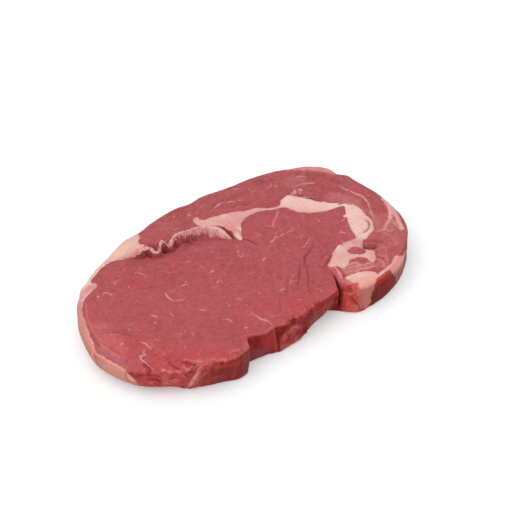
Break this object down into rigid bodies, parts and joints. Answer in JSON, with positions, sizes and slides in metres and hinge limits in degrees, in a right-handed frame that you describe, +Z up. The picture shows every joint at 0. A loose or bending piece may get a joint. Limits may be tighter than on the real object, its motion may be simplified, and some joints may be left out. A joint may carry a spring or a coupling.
{
  "type": "raw rib-eye steak",
  "caption": "Raw boneless rib-eye steak lying flat, with eye muscle, cap muscle, seam fat, a pulled-up membrane and a cleft beside a fat kernel.",
  "frame": {"origin": "middle of the plan's box, on the resting cut face", "axes": "+X from the rounded end of the eye muscle to the tail, +Y from the open edge with the cleft to the cap muscle, +Z up out of the cut face"},
  "size_m": [0.1851, 0.1101, 0.0218],
  "materials": {
    "raw_meat": "moist raw beef with pale pink fat"
  },
  "bodies": {
    "root": {"steak": "raw_meat"}
  },
  "joints": []
}
